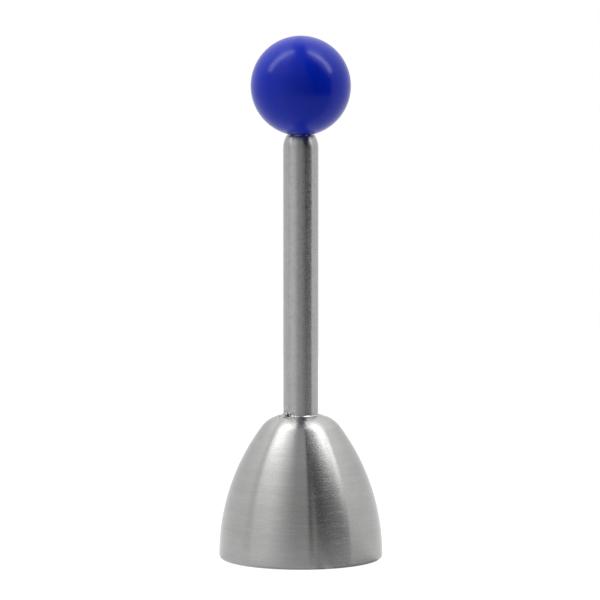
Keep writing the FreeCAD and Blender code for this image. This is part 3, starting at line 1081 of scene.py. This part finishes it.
def surround():
    """The studio round the object: the tent's walls and a lit roof just in front. The camera sees
    plain white."""
    world = bpy.data.worlds.new("studio_surround")
    world.use_nodes = True
    tree = world.node_tree
    tree.nodes.clear()
    toward = parts_of(tree, add(tree, "ShaderNodeTexCoord").outputs["Generated"])
    tent, walls = tent_walls(tree, toward)
    off_side = maths(tree, "ABSOLUTE", maths(tree, "ARCSINE", toward["Y"]))
    overhead = maths(tree, "ARCTAN2", toward["Z"], maths(tree, "ABSOLUTE", toward["X"]))
    roof = over_angles(tree, off_side, (0, ROOF_REACH), (ROOF_LEVEL, 0.0))
    roof = maths(tree, "MULTIPLY", roof, angle_band(tree, overhead, ROOF_EDGES))
    lit = maths(tree, "MULTIPLY_ADD", roof, tent, walls)
    seen = add(tree, "ShaderNodeLightPath").outputs["Is Camera Ray"]
    strength = between(tree, seen, lit, 1.0)
    light = add(tree, "ShaderNodeBackground", {"Color": grey(1.0), "Strength": strength})
    add(tree, "ShaderNodeOutputWorld", {"Surface": light.outputs[0]})
    bpy.context.scene.world = world


def softbox(name, aim, azimuth, elevation, reach, length, width, power):
    """A rectangular lamp that faces its aim, longer up and down than across."""
    data = bpy.data.lights.new(name, "AREA")
    data.shape = "RECTANGLE"
    data.size = width
    data.size_y = length
    data.energy = power
    lamp = bpy.data.objects.new(name, data)
    level = cos(radians(elevation))
    outward = Vector((
        level * sin(radians(azimuth)), -level * cos(radians(azimuth)), sin(radians(elevation))))
    lamp.location = aim + reach * outward
    lamp.rotation_mode = "QUATERNION"
    lamp.rotation_quaternion = outward.to_track_quat("Z", "Y")
    bpy.context.scene.collection.objects.link(lamp)


def lamps():
    """A soft box on each side for the steel, and a small one on each side for the ball's gloss."""
    softbox("left_softbox", CAMERA_AIM, azimuth=-84, elevation=49, reach=0.42,
            length=0.26, width=0.07, power=0.09)
    softbox("right_softbox", CAMERA_AIM, azimuth=82, elevation=48, reach=0.42,
            length=0.28, width=0.055, power=0.17)
    softbox("left_ball_lamp", BALL_AIM, azimuth=-86, elevation=52, reach=0.13,
            length=0.13, width=0.026, power=0.046)
    softbox("right_ball_lamp", BALL_AIM, azimuth=80, elevation=53, reach=0.13,
            length=0.13, width=0.025, power=0.042)


def table_material():
    """A pale table top that glows with a painted reflection of the tent's walls, a sheen that
    mirror-like surfaces see. It is white where the camera sees it, keeps the object's shadow, and can
    be seen through from below."""
    material = bpy.data.materials.new("pale_table")
    material.use_nodes = True
    material.cycles.emission_sampling = "NONE"
    tree = material.node_tree
    tree.nodes.clear()
    path = add(tree, "ShaderNodeLightPath").outputs
    geometry = add(tree, "ShaderNodeNewGeometry").outputs
    outward = add(
        tree, "ShaderNodeVectorMath", {0: geometry["Position"]}, operation="NORMALIZE").outputs[0]
    _, walls = tent_walls(tree, parts_of(tree, outward))
    # painted reflection: the table's glow repeats the tent's walls for glossy and transmission rays
    painted_sheen = maths(tree, "MULTIPLY_ADD", walls, SHEEN_SHARE, SHEEN_LEVEL)
    glow_level = between(tree, path["Is Camera Ray"], painted_sheen, TABLE_GLOW)
    pale = add(tree, "ShaderNodeBsdfDiffuse", {"Color": grey(TABLE_PALE)}).outputs[0]
    shaded = add(tree, "ShaderNodeBsdfDiffuse", {"Color": grey(TABLE_SHADED)}).outputs[0]
    glow = add(tree, "ShaderNodeEmission", {"Color": grey(1.0), "Strength": glow_level}).outputs[0]
    white = add(tree, "ShaderNodeAddShader", {0: shaded, 1: glow}).outputs[0]
    seen = maths(tree, "ADD", path["Is Camera Ray"], path["Is Glossy Ray"])
    seen = maths(tree, "ADD", seen, path["Is Transmission Ray"], clamp=True)
    top_side = add(tree, "ShaderNodeMixShader", {0: seen, 1: pale, 2: white}).outputs[0]
    clear = add(tree, "ShaderNodeBsdfTransparent").outputs[0]
    both = add(
        tree, "ShaderNodeMixShader", {0: geometry["Backfacing"], 1: top_side, 2: clear}).outputs[0]
    add(tree, "ShaderNodeOutputMaterial", {"Surface": both})
    return material


def table():
    """The round table top under the object."""
    bpy.ops.object.select_all(action="DESELECT")
    bpy.ops.mesh.primitive_circle_add(
        vertices=SPIN_STEPS, radius=TABLE_RADIUS, fill_type="NGON", location=ORIGIN)
    piece = bpy.context.object
    piece.name = piece.data.name = "table_top"
    piece.data.materials.append(table_material())


# ------------------------------------------------------------------------------------------------
# The object, put together
# ------------------------------------------------------------------------------------------------

STEEL = turned_steel()
BRASS = turned_brass()
finish(bell_cup(), "barrel", brushed_bell_steel(), "bell_cup")
finish(barrel_tube(), "barrel", satin_tube_steel(), "barrel_tube")
finish(foot_weld(), "barrel", weld_steel(), "foot_weld_bead", crease=60)
finish(anvil_plug(), "barrel", STEEL, "anvil_plug")
finish(guide_bush(), "barrel", BRASS, "guide_bush")
upper_washer, lower_washer = spring_washers()
finish(upper_washer, "barrel", STEEL, "upper_spring_washer")
finish(lower_washer, "spring_carriage", STEEL, "lower_spring_washer")
finish(plunger_rod(), "plunger", STEEL, "plunger_rod")
finish(striker_weight(), "plunger", STEEL, "striker_weight")
finish(striker_cross_pin(), "plunger", STEEL, "striker_cross_pin")
finish(knob_insert(), "plunger", BRASS, "knob_insert")
finish(ball_knob(), "plunger", blue_plastic(), "ball_knob")
spring = finish(return_spring(), "barrel", spring_wire(), "return_spring", crease=50)
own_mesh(spring)

bpy.context.scene.view_settings.view_transform = "Standard"
camera()
surround()
lamps()
table()
